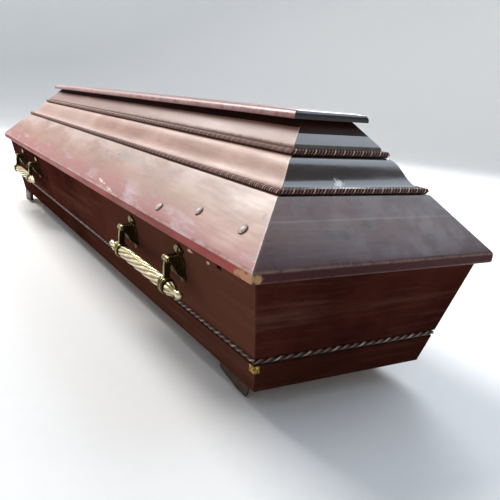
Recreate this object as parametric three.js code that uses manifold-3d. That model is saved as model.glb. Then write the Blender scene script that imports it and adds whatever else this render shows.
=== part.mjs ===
// A wooden coffin with a hipped, tiered lid, twisted mouldings and swinging brass bar handles.
// Millimetres, +Z up. X runs from the head end (-X) to the foot end (+X), Y across the coffin.
import * as THREE from 'three';
import { mergeVertices } from 'three/addons/utils/BufferGeometryUtils.js';
import Module from 'manifold-3d';

const wasm = await Module();
wasm.setup();

// Plan, measured over the eaves of the lid
const LENGTH = 2000;
const FOOT_WIDTH = 480;
const HEAD_WIDTH = 550;

// Heights above the floor
const FOOT_HEIGHT = 40;
const BODY_TOP = 244;
const BODY_ROPE_Z = 100;
const EAVE_TOP = 262;
const LOWER_SLOPE_TOP = 347;
const OGEE_TOP = 400.4;
const UPPER_SHOULDER_Z = 413;
const UPPER_SLOPE_TOP = 455.7;
const CAP_TOP = 470;

// Insets from the eave line, measured level
const BODY_BOTTOM_INSET = 64.7;
const BODY_TOP_INSET = 17.6;
const OGEE_EDGE_INSET = 98.3;
const OGEE_TOP_INSET = 142;
const UPPER_EDGE_INSET = 151;
const CAP_SIDE_INSET = 165;
const CAP_END_INSET = 178;

// Boards, mouldings and the gaps that keep touching pieces apart
const BODY_BOARD = 20.5;
const FLOOR_BOARD = 18;
const FLOOR_RECESS = 2;
const LID_BOARD = 20;
const UPPER_BOARD = 16;
const LID_SEAT = 40;
const EAVE_ROUND = 5;
const EAVE_ROUND_REACH = 3.5;
const ROPE_RADIUS = 5.5;
const BODY_ROPE_RADIUS = 5;
const ROPE_GROOVE_DEPTH = 4;
const ROPE_GROOVE_HEIGHT = 11;
const CAP_ROUND = 11;
const STACK_GAP = 0.3;
const MITRE_GAP = 0.25;

// Ogee boards: upright lip, pull of the hollow and of the swell, level thickness at both edges
const OGEE_LIP = 9;
const OGEE_HOLLOW = { inward: 19.7, up: 15 };
const OGEE_SWELL = { outward: 19, down: 5.5 };
const OGEE_BOTTOM_BOARD = 28.7;
const OGEE_TOP_BOARD = 26;

// Rounded shoulder at the foot of the upper slopes
const UPPER_SHOULDER_IN = 2.5;
const UPPER_SHOULDER_UP = 5.5;
const UPPER_SHOULDER_PULL = 3;

// Bracket feet under the chest, each with its setbacks from the end and side of the chest's foot
const FOOT_LENGTH = 110;
const FOOT_FLAT = 40;
const FOOT_INNER_LIFT = 9;
const FOOT_CHAMFER = 5;
const FOOT_TIP_SLANT = 9;
const FOOT_THICKNESS = 12;
const FEET = [
  { place: 'foot_left', end: 1, side: -1, endSetback: 41, sideSetback: 19 },
  { place: 'foot_right', end: 1, side: 1, endSetback: 72, sideSetback: 19 },
  { place: 'head_left', end: -1, side: -1, endSetback: 0, sideSetback: 0 },
  { place: 'head_right', end: -1, side: 1, endSetback: 0, sideSetback: 0 },
];

// Swing handles, two on each long side
const HANDLE_X = 600;
const BRACKET_SPACING = 240;
const PIVOT_Z = 202.5;
const PIVOT_OUT = 26;
const BAR_DROP = 48;

// Back plates, with ears that hold a pin, their front edges drawn as distance out from the pin and height
const PLATE_THICKNESS = 3;
const PLATE_BEVEL = 1.2;
const PLATE_TAIL = -46;
const PIN_RADIUS = 3;
const PIN_RECESS = 0.5;
const EAR_THICKNESS = 7;
const EAR_CLEARANCE = 0.5;
const EAR_SINK = 2;
const EAR_ROOT_LOW = -40;
const EAR_ROOT_HIGH = 9;
const EAR_EDGE = [[-31, -39], [-25, -33.5], [-16.5, -27.5], [-8, -14]];
const EAR_NECK_HIGH = 10;

// Bail arms: eye, waisted shank and collar, the collar drawn as radius and place along the bar
const EYE_BORE = 3.4;
const EYE_RADIUS = 6.2;
const EYE_WIDTH = 8;
const SHANK_DEPTH = 15;
const SHANK_TOP = { half: 3.6, z: -2 };
const SHANK_WAIST = { half: 2.4, z: -20 };
const SHANK_FOOT = { half: 5, z: 11 - BAR_DROP };
const COLLAR_BORE = 8.8;
const COLLAR_PROFILE = [
  [COLLAR_BORE, -11], [13.5, -11], [15.5, -7.5], [12.8, -3],
  [15, 1.5], [13, 7], [COLLAR_BORE, 11], [COLLAR_BORE, -11],
];

// Bars: fluted grip, then neck, bud, waist and ball as distance past the bracket, radius, flute depth
const GRIP_RADIUS = 11.5;
const GRIP_HALF = 106;
const GRIP_TURN = 1.1 * Math.PI;
const GRIP_FLUTE = 0.09;
const GRIP_STEPS = 3;
const BAR_LOBES = 6;
const BAR_TIP = [
  [-13, 8, 0], [12, 8, 0], [20, 12, 0.1], [35, 8.5, 0.1],
  [45, 4.6, 0], [52, 7, 0], [60, 7, 0], [65, 2, 0],
];

// Fixing screws on the left lower slope: distance from mid-length and height
const LID_SCREWS = [[640, 278], [766, 296], [908, 298]];
const SCREW_RADIUS = 9;
const SCREW_DOME = 3;
const SCREW_PROFILE = [[0, 0], [1, 0], [0.86, 0.6], [0.5, 0.92], [0, 1]];

// Gilt corner mount under the chest's moulding
const GILT_HEIGHT = 15;
const GILT_DROP = 1;
const GILT_OUT = 2;
const GILT_SIDE_REACH = 13;
const GILT_END_REACH = 9;

// Straight facets that stand for curves
const EDGE_SEGMENTS = 4;
const OGEE_SEGMENTS = 8;
const ROPE_SEGMENTS = 6;
const HALF_ROPE_SEGMENTS = 4;
const CAP_SEGMENTS = 5;
const PLATE_SEGMENTS = 2;
const EAR_SEGMENTS = 4;
const SHANK_SEGMENTS = 3;
const PIN_SIDES = 8;
const EYE_SIDES = 10;
const COLLAR_SIDES = 9;
const SCREW_SIDES = 10;

const lacquer = new THREE.MeshStandardMaterial({ color: 0x6b3028, roughness: 0.35, metalness: 0 });
const ropeLacquer = new THREE.MeshStandardMaterial({ color: 0x3a1216, roughness: 0.45, metalness: 0 });
const brass = new THREE.MeshStandardMaterial({ color: 0xa8925a, roughness: 0.3, metalness: 1 });
const gilt = new THREE.MeshStandardMaterial({ color: 0xc9a84a, roughness: 0.35, metalness: 1 });
const screwMetal = new THREE.MeshStandardMaterial({ color: 0x9a8c86, roughness: 0.4, metalness: 0.6 });

const HALF_LENGTH = LENGTH / 2;
const SIDE_TAPER = (HEAD_WIDTH - FOOT_WIDTH) / 2 / LENGTH;
const SIDE_STRETCH = Math.hypot(1, SIDE_TAPER);
const BODY_FLARE = (BODY_BOTTOM_INSET - BODY_TOP_INSET) / (BODY_TOP - FOOT_HEIGHT);

const coffin = new THREE.Group();

// Half the width of the plan at x, drawn in from the eave line by an inset.
function halfWidth(x, inset) {
  return FOOT_WIDTH / 2 + (HALF_LENGTH - x) * SIDE_TAPER - inset * SIDE_STRETCH;
}

// A plan corner drawn in by an inset: end is +1 at the foot, side is +1 toward +Y.
function planCorner(end, side, inset) {
  const x = end * (HALF_LENGTH - inset);
  return new THREE.Vector2(x, side * halfWidth(x, inset));
}

// Inset of the body's outer face at a height.
function bodyFace(z) {
  return BODY_BOTTOM_INSET - (z - FOOT_HEIGHT) * BODY_FLARE;
}

// The four runs of the plan, counter-clockwise, each from one corner to the next.
const RUNS = {
  left: { from: [-1, -1], to: [1, -1] },
  foot: { from: [1, -1], to: [1, 1] },
  right: { from: [1, 1], to: [-1, 1] },
  head: { from: [-1, 1], to: [-1, -1] },
};

function addPiece(name, geometry, material, parent = coffin) {
  const mesh = new THREE.Mesh(geometry, material);
  mesh.name = name;
  parent.add(mesh);
  return mesh;
}

// A board of constant profile, drawn as (inset, z), along one run and mitred at both ends.
function mitredBoard(profile, run, curveSegments) {
  const options = { depth: 1, steps: 1, bevelEnabled: false, curveSegments };
  const geometry = new THREE.ExtrudeGeometry(profile, options);
  const position = geometry.attributes.position;
  for (let i = 0; i < position.count; i += 1) {
    const inset = position.getX(i);
    const z = position.getY(i);
    const from = planCorner(...run.from, inset);
    const to = planCorner(...run.to, inset);
    const along = to.clone().sub(from).normalize();
    const atStart = position.getZ(i) < 0.5;
    const point = atStart ? from.addScaledVector(along, MITRE_GAP) : to.addScaledVector(along, -MITRE_GAP);
    position.setXYZ(i, point.x, point.y, z);
  }
  return geometry;
}

function addMitredSet(prefix, profile, material, curveSegments) {
  for (const [place, run] of Object.entries(RUNS)) {
    addPiece(`${prefix}_${place}`, mitredBoard(profile, run, curveSegments), material);
  }
}

// One flat board over the whole plan, its edge drawn as (inset, z) from the underside up.
function planBoard(edge, endExtra = 0) {
  const outline = edge.map(([inset, z]) => new THREE.Vector2(HALF_LENGTH - inset, z));
  const bottomCentre = new THREE.Vector2(0, edge[0][1]);
  const topCentre = new THREE.Vector2(0, edge[edge.length - 1][1]);
  const geometry = new THREE.LatheGeometry([bottomCentre, ...outline, topCentre], 4, Math.PI / 4);
  const position = geometry.attributes.position;
  for (let i = 0; i < position.count; i += 1) {
    const across = position.getZ(i);
    const along = position.getX(i);
    const radius = Math.hypot(along, across);
    const corner = radius < 1e-3
      ? new THREE.Vector2(0, 0)
      : planCorner(Math.sign(along), Math.sign(across), HALF_LENGTH - radius);
    const endSetback = Math.sign(corner.x) * endExtra;
    position.setXYZ(i, corner.x - endSetback, corner.y, position.getY(i));
  }
  const faces = geometry.index.array;
  for (let i = 0; i < faces.length; i += 3) {
    [faces[i + 1], faces[i + 2]] = [faces[i + 2], faces[i + 1]];
  }
  return geometry;
}

function shapeThrough(points) {
  return new THREE.Shape(points.map(([x, y]) => new THREE.Vector2(x, y)));
}

// Chest: four flared boards with a groove for the twisted moulding, and a floor between them.
function addChest() {
  const grooveLow = BODY_ROPE_Z - ROPE_GROOVE_HEIGHT / 2;
  const grooveHigh = BODY_ROPE_Z + ROPE_GROOVE_HEIGHT / 2;
  const grooveBack = bodyFace(BODY_ROPE_Z) + ROPE_GROOVE_DEPTH;
  const board = shapeThrough([
    [bodyFace(FOOT_HEIGHT), FOOT_HEIGHT],
    [bodyFace(grooveLow), grooveLow],
    [grooveBack, grooveLow],
    [grooveBack, grooveHigh],
    [bodyFace(grooveHigh), grooveHigh],
    [bodyFace(BODY_TOP), BODY_TOP],
    [bodyFace(BODY_TOP) + BODY_BOARD, BODY_TOP],
    [bodyFace(FOOT_HEIGHT) + BODY_BOARD, FOOT_HEIGHT],
  ]);
  addMitredSet('chest_board', board, lacquer, 1);

  const ropeInset = grooveBack - STACK_GAP;
  const rope = new THREE.Shape();
  rope.absarc(ropeInset, BODY_ROPE_Z, BODY_ROPE_RADIUS, Math.PI / 2, 1.5 * Math.PI);
  addMitredSet('chest_rope', rope, ropeLacquer, HALF_ROPE_SEGMENTS);

  const floorBottom = FOOT_HEIGHT + FLOOR_RECESS;
  const floorTop = floorBottom + FLOOR_BOARD;
  const floorEdge = (z) => [bodyFace(z) + BODY_BOARD + STACK_GAP, z];
  addPiece('chest_floor', planBoard([floorEdge(floorBottom), floorEdge(floorTop)]), lacquer);
}

// Bracket feet: upright boards cut up toward the middle of the chest, mitred at the outer end.
function addFeet() {
  const top = FOOT_HEIGHT - STACK_GAP;
  const outline = shapeThrough([
    [-FOOT_TIP_SLANT, 0],
    [0, top],
    [-FOOT_LENGTH, top],
    [-FOOT_LENGTH, FOOT_INNER_LIFT + FOOT_CHAMFER],
    [FOOT_CHAMFER - FOOT_LENGTH, FOOT_INNER_LIFT],
    [-FOOT_FLAT, 0],
  ]);
  for (const { place, end, side, endSetback, sideSetback } of FEET) {
    const options = { depth: FOOT_THICKNESS, bevelEnabled: false };
    const geometry = new THREE.ExtrudeGeometry(outline, options);
    const position = geometry.attributes.position;
    const innerDepth = end * side > 0 ? FOOT_THICKNESS : 0;
    for (let i = 0; i < position.count; i += 1) {
      const atMitre = position.getZ(i) === innerDepth && position.getX(i) > -FOOT_FLAT;
      position.setX(i, position.getX(i) - (atMitre ? FOOT_THICKNESS : 0));
    }
    geometry.rotateX(Math.PI / 2);
    const outerX = end * (HALF_LENGTH - BODY_BOTTOM_INSET - endSetback);
    const outerY = side * halfWidth(outerX, BODY_BOTTOM_INSET + sideSetback);
    const bracket = addPiece(`bracket_foot_${place}`, geometry, lacquer);
    bracket.rotation.z = end > 0 ? 0 : Math.PI;
    const nearFace = end * side > 0 ? outerY : outerY + end * FOOT_THICKNESS;
    bracket.position.set(outerX, nearFace, 0);
  }
}

// Lid: lower slopes with a rounded eave, ogee boards, upper slopes and a flat cap.
function addLid() {
  const seat = BODY_TOP + STACK_GAP;
  const level = (thickness) => thickness * Math.SQRT2;
  const slopeInset = LOWER_SLOPE_TOP - EAVE_TOP;
  const lower = new THREE.Shape();
  lower.moveTo(EAVE_ROUND, seat);
  lower.quadraticCurveTo(0, seat, 0, seat + EAVE_ROUND);
  lower.lineTo(0, EAVE_TOP - EAVE_ROUND);
  lower.quadraticCurveTo(0, EAVE_TOP, EAVE_ROUND_REACH, EAVE_TOP + EAVE_ROUND_REACH);
  lower.lineTo(slopeInset, LOWER_SLOPE_TOP);
  lower.lineTo(slopeInset + level(LID_BOARD), LOWER_SLOPE_TOP);
  lower.lineTo(LID_SEAT, EAVE_TOP + LID_SEAT - level(LID_BOARD));
  lower.lineTo(LID_SEAT, seat);
  lower.closePath();
  addMitredSet('lower_slope', lower, lacquer, EDGE_SEGMENTS);

  const ogeeBottom = LOWER_SLOPE_TOP + STACK_GAP;
  const ogee = new THREE.Shape();
  ogee.moveTo(OGEE_EDGE_INSET, ogeeBottom);
  ogee.lineTo(OGEE_EDGE_INSET, ogeeBottom + OGEE_LIP);
  ogee.bezierCurveTo(
    OGEE_EDGE_INSET + OGEE_HOLLOW.inward, ogeeBottom + OGEE_HOLLOW.up,
    OGEE_TOP_INSET - OGEE_SWELL.outward, OGEE_TOP - OGEE_SWELL.down,
    OGEE_TOP_INSET, OGEE_TOP,
  );
  ogee.lineTo(OGEE_TOP_INSET + OGEE_TOP_BOARD, OGEE_TOP);
  ogee.lineTo(OGEE_EDGE_INSET + OGEE_BOTTOM_BOARD, ogeeBottom);
  ogee.closePath();
  addMitredSet('ogee', ogee, lacquer, OGEE_SEGMENTS);

  const upperBottom = OGEE_TOP + STACK_GAP;
  const slopeStartInset = UPPER_EDGE_INSET + UPPER_SHOULDER_IN;
  const slopeStartZ = UPPER_SHOULDER_Z + UPPER_SHOULDER_UP;
  const upperRise = UPPER_SLOPE_TOP - slopeStartZ;
  const upper = new THREE.Shape();
  upper.moveTo(UPPER_EDGE_INSET, upperBottom);
  upper.lineTo(UPPER_EDGE_INSET, UPPER_SHOULDER_Z);
  upper.quadraticCurveTo(
    UPPER_EDGE_INSET, UPPER_SHOULDER_Z + UPPER_SHOULDER_PULL,
    slopeStartInset, slopeStartZ,
  );
  upper.lineTo(slopeStartInset + upperRise, UPPER_SLOPE_TOP);
  upper.lineTo(slopeStartInset + upperRise + level(UPPER_BOARD), UPPER_SLOPE_TOP);
  upper.lineTo(slopeStartInset + level(UPPER_BOARD), slopeStartZ);
  upper.lineTo(slopeStartInset + level(UPPER_BOARD), upperBottom);
  upper.closePath();
  addMitredSet('upper_slope', upper, lacquer, EDGE_SEGMENTS);

  const capEdge = [[CAP_SIDE_INSET, UPPER_SLOPE_TOP + STACK_GAP]];
  for (let step = 0; step <= CAP_SEGMENTS; step += 1) {
    const angle = (step / CAP_SEGMENTS) * (Math.PI / 2);
    const inset = CAP_SIDE_INSET + CAP_ROUND * (1 - Math.cos(angle));
    capEdge.push([inset, CAP_TOP - CAP_ROUND * (1 - Math.sin(angle))]);
  }
  addPiece('cap_board', planBoard(capEdge, CAP_END_INSET - CAP_SIDE_INSET), lacquer);
}

// Twisted mouldings of the lid, each lying on the tier below against the edge of the tier above.
function addLidRopes() {
  const tiers = [
    ['lower_rope', OGEE_EDGE_INSET, LOWER_SLOPE_TOP],
    ['upper_rope', UPPER_EDGE_INSET, OGEE_TOP],
  ];
  for (const [name, edgeInset, bed] of tiers) {
    const rope = new THREE.Shape();
    const inset = edgeInset - STACK_GAP - ROPE_RADIUS;
    rope.absarc(inset, bed + STACK_GAP + ROPE_RADIUS, ROPE_RADIUS, 0, 2 * Math.PI);
    addMitredSet(name, rope, ropeLacquer, ROPE_SEGMENTS);
  }
}

function solidOf(geometry) {
  const plain = geometry.clone();
  plain.deleteAttribute('normal');
  plain.deleteAttribute('uv');
  const merged = mergeVertices(plain, 1e-4);
  const vertProperties = new Float32Array(merged.attributes.position.array);
  const triVerts = new Uint32Array(merged.index.array);
  return new wasm.Manifold(new wasm.Mesh({ numProp: 3, vertProperties, triVerts }));
}

function geometryOf(solid) {
  const mesh = solid.getMesh();
  const geometry = new THREE.BufferGeometry();
  geometry.setAttribute('position', new THREE.BufferAttribute(mesh.vertProperties, 3));
  geometry.setIndex(new THREE.BufferAttribute(mesh.triVerts, 1));
  return geometry;
}

function crossCylinder(radius, width, sides) {
  return new THREE.CylinderGeometry(radius, radius, width, sides).rotateZ(Math.PI / 2);
}

// Outline of a back plate: pointed leaf tail, round belly and palmette head.
function plateOutline() {
  const half = [
    [0, PLATE_TAIL, 8, -44, 11, -38],
    [12, -34, 12, -29, 12.5, -25],
    [14, -20, 20, -14, 20, -6],
    [20, 2, 14, 6, 10, 9],
    [15, 10, 22, 12, 21, 18],
    [17, 20, 15, 20, 14, 21],
    [11, 25, 5, 27, 0, 27],
  ];
  const outline = new THREE.Shape();
  outline.moveTo(0, PLATE_TAIL);
  for (const curve of half) {
    outline.bezierCurveTo(...curve);
  }
  for (let i = half.length - 1; i >= 0; i -= 1) {
    const [x1, y1, x2, y2] = half[i];
    const [endX, endY] = i > 0 ? half[i - 1].slice(4) : [0, PLATE_TAIL];
    outline.bezierCurveTo(-x2, y2, -x1, y1, -endX, endY);
  }
  return outline;
}

// A back plate lying on the flared side, with two ears and the pin between them, about the pivot.
function plateGeometry() {
  const options = {
    depth: PLATE_THICKNESS,
    bevelEnabled: true,
    bevelThickness: PLATE_BEVEL,
    bevelSize: PLATE_BEVEL,
    bevelSegments: 1,
    bevelOffset: -PLATE_BEVEL,
    curveSegments: PLATE_SEGMENTS,
  };
  const plate = new THREE.ExtrudeGeometry(plateOutline(), options);
  plate.rotateX(Math.PI / 2);
  plate.translate(0, PLATE_THICKNESS + PLATE_BEVEL + STACK_GAP, 0);
  plate.rotateX(-Math.atan(BODY_FLARE));
  plate.translate(0, -PIVOT_OUT, 0);

  const earRoot = (z) => BODY_FLARE * z - PIVOT_OUT + EAR_SINK;
  const earShape = new THREE.Shape();
  earShape.moveTo(earRoot(EAR_ROOT_LOW), EAR_ROOT_LOW);
  for (const [out, z] of EAR_EDGE) {
    earShape.lineTo(out, z);
  }
  earShape.absarc(0, 0, EYE_RADIUS, -Math.PI / 2, Math.PI / 2);
  earShape.lineTo(-EAR_NECK_HIGH, EYE_RADIUS);
  earShape.lineTo(earRoot(EAR_ROOT_HIGH), EAR_ROOT_HIGH);
  earShape.closePath();
  const earOptions = { depth: EAR_THICKNESS, bevelEnabled: false, curveSegments: EAR_SEGMENTS };
  const earOffset = EYE_WIDTH / 2 + EAR_CLEARANCE;
  let solid = solidOf(plate);
  for (const start of [earOffset, -earOffset - EAR_THICKNESS]) {
    const ear = new THREE.ExtrudeGeometry(earShape, earOptions);
    ear.applyMatrix4(new THREE.Matrix4().set(0, 0, 1, start, 1, 0, 0, 0, 0, 1, 0, 0, 0, 0, 0, 1));
    solid = solid.add(solidOf(ear));
  }
  const pinLength = 2 * (earOffset + EAR_THICKNESS - PIN_RECESS);
  solid = solid.add(solidOf(crossCylinder(PIN_RADIUS, pinLength, PIN_SIDES)));
  return geometryOf(solid);
}

// A bail arm: an eye on the pin, a waisted shank and a double-ringed collar around the bar.
function armGeometry() {
  const shank = new THREE.Shape();
  shank.moveTo(-SHANK_TOP.half, SHANK_TOP.z);
  shank.quadraticCurveTo(-SHANK_WAIST.half, SHANK_WAIST.z, -SHANK_FOOT.half, SHANK_FOOT.z);
  shank.lineTo(SHANK_FOOT.half, SHANK_FOOT.z);
  shank.quadraticCurveTo(SHANK_WAIST.half, SHANK_WAIST.z, SHANK_TOP.half, SHANK_TOP.z);
  shank.closePath();
  const options = { depth: SHANK_DEPTH, bevelEnabled: false, curveSegments: SHANK_SEGMENTS };
  const shankGeometry = new THREE.ExtrudeGeometry(shank, options);
  shankGeometry.rotateX(Math.PI / 2);
  shankGeometry.translate(0, SHANK_DEPTH / 2, 0);

  const ring = COLLAR_PROFILE.map(([radius, along]) => new THREE.Vector2(radius, along));
  const collar = new THREE.LatheGeometry(ring, COLLAR_SIDES);
  collar.rotateZ(-Math.PI / 2);
  collar.translate(0, 0, -BAR_DROP);
  const solid = solidOf(crossCylinder(EYE_RADIUS, EYE_WIDTH, EYE_SIDES))
    .add(solidOf(shankGeometry))
    .add(solidOf(collar))
    .subtract(solidOf(crossCylinder(EYE_BORE, 2 * EYE_WIDTH, EYE_SIDES)));
  return geometryOf(solid);
}

// Stations along a bar: distance from the middle, radius and depth of the flutes.
function barStations() {
  const half = [];
  for (let step = 1; step <= GRIP_STEPS; step += 1) {
    half.push([(step / GRIP_STEPS) * GRIP_HALF, GRIP_RADIUS, GRIP_FLUTE]);
  }
  for (const [past, radius, flute] of BAR_TIP) {
    half.push([BRACKET_SPACING / 2 + past, radius, flute]);
  }
  const mirrored = half.map(([x, radius, flute]) => [-x, radius, flute]).reverse();
  return [...mirrored, [0, GRIP_RADIUS, GRIP_FLUTE], ...half];
}

// The bar: a spirally fluted grip between plain necks, ending in fluted buds and balls.
function barGeometry() {
  const stations = barStations();
  const sides = 2 * BAR_LOBES;
  const section = [];
  for (let i = 0; i < sides; i += 1) {
    const angle = (i / sides) * 2 * Math.PI;
    section.push([Math.cos(angle), Math.sin(angle)]);
  }
  const options = { depth: 1, steps: stations.length - 1, bevelEnabled: false };
  const geometry = new THREE.ExtrudeGeometry(shapeThrough(section), options);
  const position = geometry.attributes.position;
  for (let i = 0; i < position.count; i += 1) {
    const [x, radius, flute] = stations[Math.round(position.getZ(i) * (stations.length - 1))];
    const angle = Math.atan2(position.getY(i), position.getX(i));
    const reach = radius * (1 + flute * Math.cos(BAR_LOBES * angle));
    const turned = angle - (THREE.MathUtils.clamp(x, -GRIP_HALF, GRIP_HALF) / GRIP_HALF) * GRIP_TURN / 2;
    position.setXYZ(i, x, reach * Math.cos(turned), reach * Math.sin(turned) - BAR_DROP);
  }
  return geometry;
}

// Four handles: a turned group on each side, with its origin at the middle of the pivot line.
function addHandles() {
  const plate = plateGeometry();
  const arm = armGeometry();
  const bar = barGeometry();
  for (const [endName, end] of [['foot', 1], ['head', -1]]) {
    for (const [sideName, side] of [['left', -1], ['right', 1]]) {
      const x = end * HANDLE_X;
      const handle = new THREE.Group();
      handle.position.set(x, side * (halfWidth(x, bodyFace(PIVOT_Z)) + PIVOT_OUT), PIVOT_Z);
      handle.rotation.z = side > 0 ? -Math.atan(SIDE_TAPER) : Math.PI + Math.atan(SIDE_TAPER);
      coffin.add(handle);
      const place = `${endName}_${sideName}`;
      for (const [label, offset] of [['a', -BRACKET_SPACING / 2], ['b', BRACKET_SPACING / 2]]) {
        addPiece(`handle_plate_${place}_${label}`, plate, brass, handle).position.x = offset;
        addPiece(`handle_arm_${place}_${label}`, arm, brass, handle).position.x = offset;
      }
      addPiece(`handle_bar_${place}`, bar, brass, handle);
    }
  }
}

// Domed heads of the screws that hold the left lower slope.
function addLidScrews() {
  const profile = SCREW_PROFILE.map(([r, h]) => new THREE.Vector2(r * SCREW_RADIUS, h * SCREW_DOME));
  LID_SCREWS.forEach(([x, z], index) => {
    const dome = new THREE.LatheGeometry(profile, SCREW_SIDES);
    const screw = addPiece(`lid_screw_${index + 1}`, dome, screwMetal);
    const lift = STACK_GAP * Math.SQRT2;
    screw.position.set(x, -halfWidth(x, z - EAVE_TOP), z + lift);
    screw.quaternion.setFromUnitVectors(
      new THREE.Vector3(0, 1, 0),
      new THREE.Vector3(-SIDE_TAPER, -1, SIDE_STRETCH).normalize(),
    );
  });
}

// The one gilt mount that is left, folded around the corner of the chest under its moulding.
function addGiltCorner() {
  const bottom = BODY_ROPE_Z - ROPE_GROOVE_HEIGHT / 2 - GILT_DROP - GILT_HEIGHT;
  const outline = shapeThrough([
    [GILT_OUT, -GILT_OUT],
    [GILT_OUT, GILT_END_REACH],
    [STACK_GAP, GILT_END_REACH],
    [STACK_GAP, -STACK_GAP],
    [-GILT_SIDE_REACH, -STACK_GAP],
    [-GILT_SIDE_REACH, -GILT_OUT],
  ]);
  const geometry = new THREE.ExtrudeGeometry(outline, { depth: GILT_HEIGHT, bevelEnabled: false });
  const position = geometry.attributes.position;
  for (let i = 0; i < position.count; i += 1) {
    const z = bottom + position.getZ(i);
    const corner = planCorner(1, -1, bodyFace(z));
    const slip = position.getX(i) * SIDE_TAPER;
    position.setXYZ(i, corner.x + position.getX(i), corner.y + position.getY(i) + slip, z);
  }
  addPiece('gilt_corner', geometry, gilt);
}

addChest();
addFeet();
addLid();
addLidRopes();
addHandles();
addLidScrews();
addGiltCorner();

export default coffin;
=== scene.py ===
"""A worn lacquered coffin.

It has a tiered hipped lid, rope mouldings, bracket feet and brass swing handles.
"""
import math

import bmesh
import bpy
from mathutils import Matrix, Vector, noise


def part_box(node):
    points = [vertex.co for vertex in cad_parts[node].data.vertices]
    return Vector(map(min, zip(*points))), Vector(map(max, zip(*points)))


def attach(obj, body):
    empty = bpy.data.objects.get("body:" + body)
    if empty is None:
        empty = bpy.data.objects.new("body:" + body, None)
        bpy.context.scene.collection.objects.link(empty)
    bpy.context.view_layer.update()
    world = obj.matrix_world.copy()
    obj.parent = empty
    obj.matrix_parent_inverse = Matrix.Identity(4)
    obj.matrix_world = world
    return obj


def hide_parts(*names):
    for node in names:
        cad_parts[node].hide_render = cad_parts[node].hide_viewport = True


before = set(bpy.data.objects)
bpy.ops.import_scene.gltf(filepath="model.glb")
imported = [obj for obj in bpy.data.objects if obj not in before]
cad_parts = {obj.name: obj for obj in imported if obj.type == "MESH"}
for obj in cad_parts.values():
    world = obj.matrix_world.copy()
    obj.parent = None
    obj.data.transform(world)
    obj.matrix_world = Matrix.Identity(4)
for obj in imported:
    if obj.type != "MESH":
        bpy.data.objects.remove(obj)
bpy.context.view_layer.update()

# Plan over the eaves, in metres
HALF_LENGTH = 1.0
FOOT_HALF = 0.24
TAPER = 0.0175
STRETCH = math.hypot(1, TAPER)
MITRE_GAP = 0.00025
RUNS = {
    "left": ((-1, -1), (1, -1)),
    "foot": ((1, -1), (1, 1)),
    "right": ((1, 1), (-1, 1)),
    "head": ((-1, 1), (-1, -1)),
}
LONG_RUNS = ("left", "right")

# Chest
CHEST_LOW = 0.04
CHEST_TOP = 0.244
CHEST_LOW_INSET = 0.0647
CHEST_TOP_INSET = 0.0176
CHEST_FLARE = (CHEST_LOW_INSET - CHEST_TOP_INSET) / (CHEST_TOP - CHEST_LOW)
CHEST_BOARD = 0.0205
CHEST_ROPE_Z = 0.1
CHEST_ROPE_RADIUS = 0.005
CHEST_ROPE_LEAD = 0.056
GROOVE_DEPTH = 0.004
GROOVE_HALF = 0.0055

# Lid tiers
SEAT = 0.2443
EAVE_TOP = 0.262
LOWER_TOP = 0.347
OGEE_LOW = 0.3473
OGEE_TOP = 0.4004
UPPER_LOW = 0.4007
UPPER_TOP = 0.4557
CAP_LOW = 0.456
CAP_TOP = 0.47
CAP_SIDE_INSET = 0.165
CAP_END_INSET = 0.178
CAP_ROUND = 0.0108
EAVE_LINE = 0.259
CAP_END_LINE = 0.8115
ROPE_RADIUS = 0.0055
LOWER_ROPE = (0.0925, 0.3528)
UPPER_ROPE = (0.1452, 0.4062)
LID_ROPE_LEAD = 0.0195
ROPE_STRANDS = 3
STRAND_DEPTH = 0.3
STRAND_POINTS = 6
STRAND_STEPS = 14

# Steps along a board
LONG_STEPS = 48
SHORT_STEPS = 18

# Angles in degrees past which an edge stays sharp
BOARD_SHARP = 38
ROPE_SHARP = 75
BAR_SHARP = 60

# Bracket feet: outline as (in from the outer end, height)
FOOT_TOP = 0.0397
FOOT_MITRE = 0.012
FOOT_RUBBED = 0.0014
FOOT_OUTLINE = (
    (0.009, 0), (0, FOOT_TOP), (0.11, FOOT_TOP), (0.11, 0.014), (0.105, 0.009), (0.04, 0),
)

# Swing handles
HANDLE_X = 0.6
PIVOT_Z = 0.2025
PIVOT_OUT = 0.026
BRACKET_HALF = 0.12
BAR_DROP = 0.048
GRIP_HALF = 0.106
GRIP_RADIUS = 0.0115
GRIP_TURN = 1.1 * math.pi
GRIP_LOBES = 9
GRIP_FLUTE = 0.075
BUD_FLUTE = 0.07
BUD_SPAN = (0.133, 0.16)
SHANK_LOW = -0.038
SHANK_LENGTH = 0.034
EAR_STARTS = (0.0045, -0.0115)
EAR_THICKNESS = 0.007
PLATE_LOW = -0.046
PLATE_LENGTH = 0.073
PLATE_BASE = 0.0018
PALMETTE_LINE = 0.009
TAIL_LINE = -0.024

# Lid screws: places as (x, z), and half a head as (radius, height)
SCREW_PLACES = ((0.64, 0.278), (0.766, 0.296), (0.908, 0.298))
SCREW_PROFILE = (
    (0, 0), (0.009, 0), (0.0089, 0.0007), (0.0083, 0.0011), (0.0077, 0.0008),
    (0.0071, 0.0014), (0.0058, 0.0023), (0.0034, 0.0028), (0, 0.003),
)

# How far the old boards have moved out of true, drawn alike in every run
WARP_DEPTH = 0.0004
WARP_SCALE = 5
WARP_SEED = 1
noise.seed_set(WARP_SEED)


def tone(code):
    """A colour as on a paint card, in linear light."""
    shares = [int(code[i:i + 2], 16) / 255 for i in (0, 2, 4)]
    linear = [s / 12.92 if s <= 0.04045 else ((s + 0.055) / 1.055) ** 2.4 for s in shares]
    return (*linear, 1)


def half_width(x, inset):
    return FOOT_HALF + (HALF_LENGTH - x) * TAPER - inset * STRETCH


def plan_corner(end, side, inset, z=0.0):
    x = end * (HALF_LENGTH - inset)
    return Vector((x, side * half_width(x, inset), z))


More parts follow.
